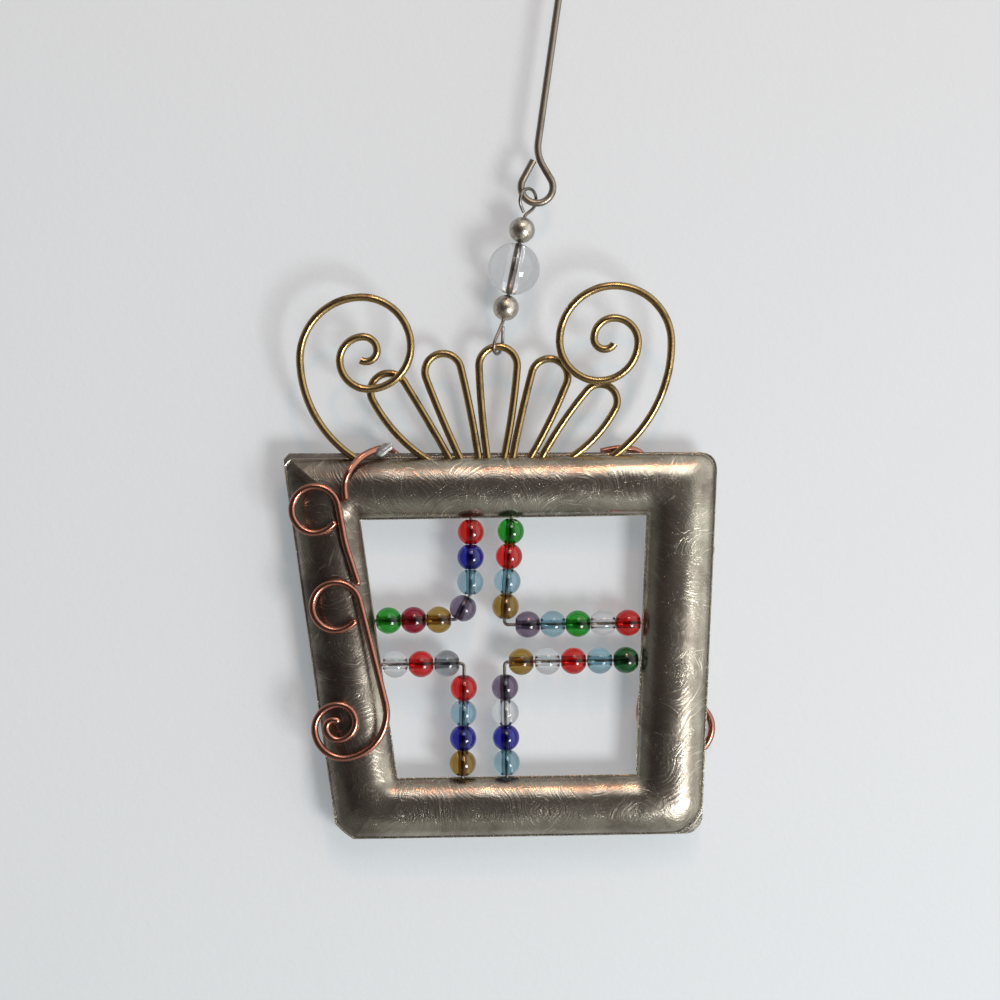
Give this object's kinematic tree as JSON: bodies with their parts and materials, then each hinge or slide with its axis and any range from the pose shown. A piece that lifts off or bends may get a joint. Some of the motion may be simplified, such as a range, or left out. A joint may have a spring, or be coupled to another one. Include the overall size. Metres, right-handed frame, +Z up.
{
  "type": "christmas package ornament",
  "caption": "Hanging gift-package ornament: hollow puffed metal frame with a brass wire bow, copper scrolls, glass beads strung across its opening, a beaded drop and a wire hook.",
  "frame": {"origin": "the point inside the top of the hook's open bend, where the ornament hangs from a twig or peg", "axes": "+Z up, +X to the viewer's right, front towards -Y; the ornament hangs in the XZ plane"},
  "size_m": [0.0666, 0.008, 0.1612],
  "materials": {
    "frame_metal": "swirl-brushed sheet metal, darkened in places by heat",
    "brass_wire": "drawn brass wire with an aged tone",
    "copper_wire": "drawn copper wire, softly polished",
    "dark_wire": "dark annealed wire",
    "drop_wire": "oxidised silver-coloured wire",
    "bead_metal": "worn bright metal",
    "hook_steel": "dark steel wire",
    "amber_glass": "clear amber glass",
    "amethyst_glass": "clear smoky violet glass",
    "aqua_glass": "clear pale blue glass",
    "clear_glass": "colourless glass",
    "cobalt_glass": "clear deep blue glass",
    "forest_glass": "clear dark green glass",
    "garnet_glass": "clear dark red glass",
    "green_glass": "clear green glass",
    "red_glass": "clear red glass",
    "smoke_glass": "clear grey glass"
  },
  "bodies": {
    "hook": {"hanging_hook": "hook_steel"},
    "drop": {"drop_wire": "drop_wire"},
    "frame": {"frame_front": "frame_metal", "frame_back": "frame_metal", "left_scroll_wire": "brass_wire", "right_scroll_wire": "brass_wire", "petal_wire_1": "brass_wire", "petal_wire_2": "brass_wire", "petal_wire_3": "brass_wire", "petal_wire_4": "brass_wire", "petal_wire_5": "brass_wire", "front_lead_copper": "copper_wire", "front_upper_copper": "copper_wire", "front_middle_copper": "copper_wire", "back_lead_copper": "copper_wire", "back_upper_copper": "copper_wire", "back_middle_copper": "copper_wire", "upper_left_strand_wire": "dark_wire", "upper_right_strand_wire": "dark_wire", "lower_left_strand_wire": "dark_wire", "lower_right_strand_wire": "dark_wire"},
    "lower_metal_bead_body": {"lower_metal_bead": "bead_metal"},
    "clear_glass_bead_body": {"clear_glass_bead": "clear_glass"},
    "upper_metal_bead_body": {"upper_metal_bead": "bead_metal"},
    "upper_left_bead_1_body": {"upper_left_bead_1": "red_glass"},
    "upper_left_bead_2_body": {"upper_left_bead_2": "cobalt_glass"},
    "upper_left_bead_3_body": {"upper_left_bead_3": "aqua_glass"},
    "upper_left_bead_4_body": {"upper_left_bead_4": "amethyst_glass"},
    "upper_left_bead_5_body": {"upper_left_bead_5": "amber_glass"},
    "upper_left_bead_6_body": {"upper_left_bead_6": "garnet_glass"},
    "upper_left_bead_7_body": {"upper_left_bead_7": "green_glass"},
    "upper_right_bead_1_body": {"upper_right_bead_1": "green_glass"},
    "upper_right_bead_2_body": {"upper_right_bead_2": "red_glass"},
    "upper_right_bead_3_body": {"upper_right_bead_3": "aqua_glass"},
    "upper_right_bead_4_body": {"upper_right_bead_4": "amber_glass"},
    "upper_right_bead_5_body": {"upper_right_bead_5": "amethyst_glass"},
    "upper_right_bead_6_body": {"upper_right_bead_6": "aqua_glass"},
    "upper_right_bead_7_body": {"upper_right_bead_7": "green_glass"},
    "upper_right_bead_8_body": {"upper_right_bead_8": "clear_glass"},
    "upper_right_bead_9_body": {"upper_right_bead_9": "red_glass"},
    "lower_left_bead_1_body": {"lower_left_bead_1": "amber_glass"},
    "lower_left_bead_2_body": {"lower_left_bead_2": "cobalt_glass"},
    "lower_left_bead_3_body": {"lower_left_bead_3": "aqua_glass"},
    "lower_left_bead_4_body": {"lower_left_bead_4": "red_glass"},
    "lower_left_bead_5_body": {"lower_left_bead_5": "smoke_glass"},
    "lower_left_bead_6_body": {"lower_left_bead_6": "red_glass"},
    "lower_left_bead_7_body": {"lower_left_bead_7": "clear_glass"},
    "lower_right_bead_1_body": {"lower_right_bead_1": "aqua_glass"},
    "lower_right_bead_2_body": {"lower_right_bead_2": "cobalt_glass"},
    "lower_right_bead_3_body": {"lower_right_bead_3": "clear_glass"},
    "lower_right_bead_4_body": {"lower_right_bead_4": "amethyst_glass"},
    "lower_right_bead_5_body": {"lower_right_bead_5": "amber_glass"},
    "lower_right_bead_6_body": {"lower_right_bead_6": "clear_glass"},
    "lower_right_bead_7_body": {"lower_right_bead_7": "red_glass"},
    "lower_right_bead_8_body": {"lower_right_bead_8": "aqua_glass"},
    "lower_right_bead_9_body": {"lower_right_bead_9": "forest_glass"}
  },
  "joints": [
    {"name": "drop_swing", "type": "hinge", "parent": "hook", "child": "drop", "pos_m": [-0.00087, 0, -0.05992], "axis": [0, 1, 0], "range_deg": [-45, 35]},
    {"name": "frame_swing", "type": "hinge", "parent": "drop", "child": "frame", "pos_m": [-0.00689, 0, -0.08441], "axis": [0.9999, 0, 0.0162], "range_deg": [-110, 110]},
    {"name": "lower_metal_bead_spin", "type": "hinge", "parent": "drop", "child": "lower_metal_bead_body", "pos_m": [-0.00566, 0, -0.07844], "axis": [0.2023, 0, 0.9793], "continuous": true},
    {"name": "clear_glass_bead_spin", "type": "hinge", "parent": "drop", "child": "clear_glass_bead_body", "pos_m": [-0.00443, 0, -0.07247], "axis": [0.2023, 0, 0.9793], "continuous": true},
    {"name": "upper_metal_bead_spin", "type": "hinge", "parent": "drop", "child": "upper_metal_bead_body", "pos_m": [-0.00319, 0, -0.06649], "axis": [0.2023, 0, 0.9793], "continuous": true},
    {"name": "upper_left_bead_1_spin", "type": "hinge", "parent": "frame", "child": "upper_left_bead_1_body", "pos_m": [-0.01104, 0, -0.1129], "axis": [-0.0102, 0, -0.9999], "continuous": true},
    {"name": "upper_left_bead_2_spin", "type": "hinge", "parent": "frame", "child": "upper_left_bead_2_body", "pos_m": [-0.01108, 0, -0.11676], "axis": [-0.0102, 0, -0.9999], "continuous": true},
    {"name": "upper_left_bead_3_spin", "type": "hinge", "parent": "frame", "child": "upper_left_bead_3_body", "pos_m": [-0.01112, 0, -0.12062], "axis": [-0.0102, 0, -0.9999], "continuous": true},
    {"name": "upper_left_bead_4_spin", "type": "hinge", "parent": "frame", "child": "upper_left_bead_4_body", "pos_m": [-0.01224, 0, -0.12463], "axis": [-0.479, 0, -0.8778], "continuous": true},
    {"name": "upper_left_bead_5_spin", "type": "hinge", "parent": "frame", "child": "upper_left_bead_5_body", "pos_m": [-0.01597, 0, -0.1264], "axis": [-0.9999, 0, -0.0162], "continuous": true},
    {"name": "upper_left_bead_6_spin", "type": "hinge", "parent": "frame", "child": "upper_left_bead_6_body", "pos_m": [-0.01983, 0, -0.12647], "axis": [-0.9999, 0, -0.0162], "continuous": true},
    {"name": "upper_left_bead_7_spin", "type": "hinge", "parent": "frame", "child": "upper_left_bead_7_body", "pos_m": [-0.02369, 0, -0.12653], "axis": [-0.9999, 0, -0.0162], "continuous": true},
    {"name": "upper_right_bead_1_spin", "type": "hinge", "parent": "frame", "child": "upper_right_bead_1_body", "pos_m": [-0.00492, 0, -0.1128], "axis": [-0.0677, 0, -0.9977], "continuous": true},
    {"name": "upper_right_bead_2_spin", "type": "hinge", "parent": "frame", "child": "upper_right_bead_2_body", "pos_m": [-0.00519, 0, -0.11665], "axis": [-0.0677, 0, -0.9977], "continuous": true},
    {"name": "upper_right_bead_3_spin", "type": "hinge", "parent": "frame", "child": "upper_right_bead_3_body", "pos_m": [-0.00545, 0, -0.1205], "axis": [-0.0677, 0, -0.9977], "continuous": true},
    {"name": "upper_right_bead_4_spin", "type": "hinge", "parent": "frame", "child": "upper_right_bead_4_body", "pos_m": [-0.00571, 0, -0.12435], "axis": [-0.0677, 0, -0.9977], "continuous": true},
    {"name": "upper_right_bead_5_spin", "type": "hinge", "parent": "frame", "child": "upper_right_bead_5_body", "pos_m": [-0.0023, 0, -0.12714], "axis": [0.9999, 0, 0.0162], "continuous": true},
    {"name": "upper_right_bead_6_spin", "type": "hinge", "parent": "frame", "child": "upper_right_bead_6_body", "pos_m": [0.00156, 0, -0.12707], "axis": [0.9999, 0, 0.0162], "continuous": true},
    {"name": "upper_right_bead_7_spin", "type": "hinge", "parent": "frame", "child": "upper_right_bead_7_body", "pos_m": [0.00542, 0, -0.12701], "axis": [0.9999, 0, 0.0162], "continuous": true},
    {"name": "upper_right_bead_8_spin", "type": "hinge", "parent": "frame", "child": "upper_right_bead_8_body", "pos_m": [0.00928, 0, -0.12695], "axis": [0.9999, 0, 0.0162], "continuous": true},
    {"name": "upper_right_bead_9_spin", "type": "hinge", "parent": "frame", "child": "upper_right_bead_9_body", "pos_m": [0.01314, 0, -0.12688], "axis": [0.9999, 0, 0.0162], "continuous": true},
    {"name": "lower_left_bead_1_spin", "type": "hinge", "parent": "frame", "child": "lower_left_bead_1_body", "pos_m": [-0.01228, 0, -0.14847], "axis": [0.0136, 0, 0.9999], "continuous": true},
    {"name": "lower_left_bead_2_spin", "type": "hinge", "parent": "frame", "child": "lower_left_bead_2_body", "pos_m": [-0.01223, 0, -0.14461], "axis": [0.0136, 0, 0.9999], "continuous": true},
    {"name": "lower_left_bead_3_spin", "type": "hinge", "parent": "frame", "child": "lower_left_bead_3_body", "pos_m": [-0.01218, 0, -0.14075], "axis": [0.0136, 0, 0.9999], "continuous": true},
    {"name": "lower_left_bead_4_spin", "type": "hinge", "parent": "frame", "child": "lower_left_bead_4_body", "pos_m": [-0.01212, 0, -0.13689], "axis": [0.0136, 0, 0.9999], "continuous": true},
    {"name": "lower_left_bead_5_spin", "type": "hinge", "parent": "frame", "child": "lower_left_bead_5_body", "pos_m": [-0.01472, 0, -0.13314], "axis": [-0.9999, 0, -0.0162], "continuous": true},
    {"name": "lower_left_bead_6_spin", "type": "hinge", "parent": "frame", "child": "lower_left_bead_6_body", "pos_m": [-0.01869, 0, -0.1332], "axis": [-0.9999, 0, -0.0162], "continuous": true},
    {"name": "lower_left_bead_7_spin", "type": "hinge", "parent": "frame", "child": "lower_left_bead_7_body", "pos_m": [-0.02266, 0, -0.13327], "axis": [-0.9999, 0, -0.0162], "continuous": true},
    {"name": "lower_right_bead_1_spin", "type": "hinge", "parent": "frame", "child": "lower_right_bead_1_body", "pos_m": [-0.00555, 0, -0.14836], "axis": [-0.0208, 0, 0.9998], "continuous": true},
    {"name": "lower_right_bead_2_spin", "type": "hinge", "parent": "frame", "child": "lower_right_bead_2_body", "pos_m": [-0.00563, 0, -0.1445], "axis": [-0.0208, 0, 0.9998], "continuous": true},
    {"name": "lower_right_bead_3_spin", "type": "hinge", "parent": "frame", "child": "lower_right_bead_3_body", "pos_m": [-0.00571, 0, -0.14064], "axis": [-0.0208, 0, 0.9998], "continuous": true},
    {"name": "lower_right_bead_4_spin", "type": "hinge", "parent": "frame", "child": "lower_right_bead_4_body", "pos_m": [-0.00579, 0, -0.13679], "axis": [-0.0208, 0, 0.9998], "continuous": true},
    {"name": "lower_right_bead_5_spin", "type": "hinge", "parent": "frame", "child": "lower_right_bead_5_body", "pos_m": [-0.0033, 0, -0.13285], "axis": [0.9999, 0, 0.0162], "continuous": true},
    {"name": "lower_right_bead_6_spin", "type": "hinge", "parent": "frame", "child": "lower_right_bead_6_body", "pos_m": [0.00073, 0, -0.13279], "axis": [0.9999, 0, 0.0162], "continuous": true},
    {"name": "lower_right_bead_7_spin", "type": "hinge", "parent": "frame", "child": "lower_right_bead_7_body", "pos_m": [0.00475, 0, -0.13272], "axis": [0.9999, 0, 0.0162], "continuous": true},
    {"name": "lower_right_bead_8_spin", "type": "hinge", "parent": "frame", "child": "lower_right_bead_8_body", "pos_m": [0.00878, 0, -0.13266], "axis": [0.9999, 0, 0.0162], "continuous": true},
    {"name": "lower_right_bead_9_spin", "type": "hinge", "parent": "frame", "child": "lower_right_bead_9_body", "pos_m": [0.01281, 0, -0.13259], "axis": [0.9999, 0, 0.0162], "continuous": true}
  ]
}
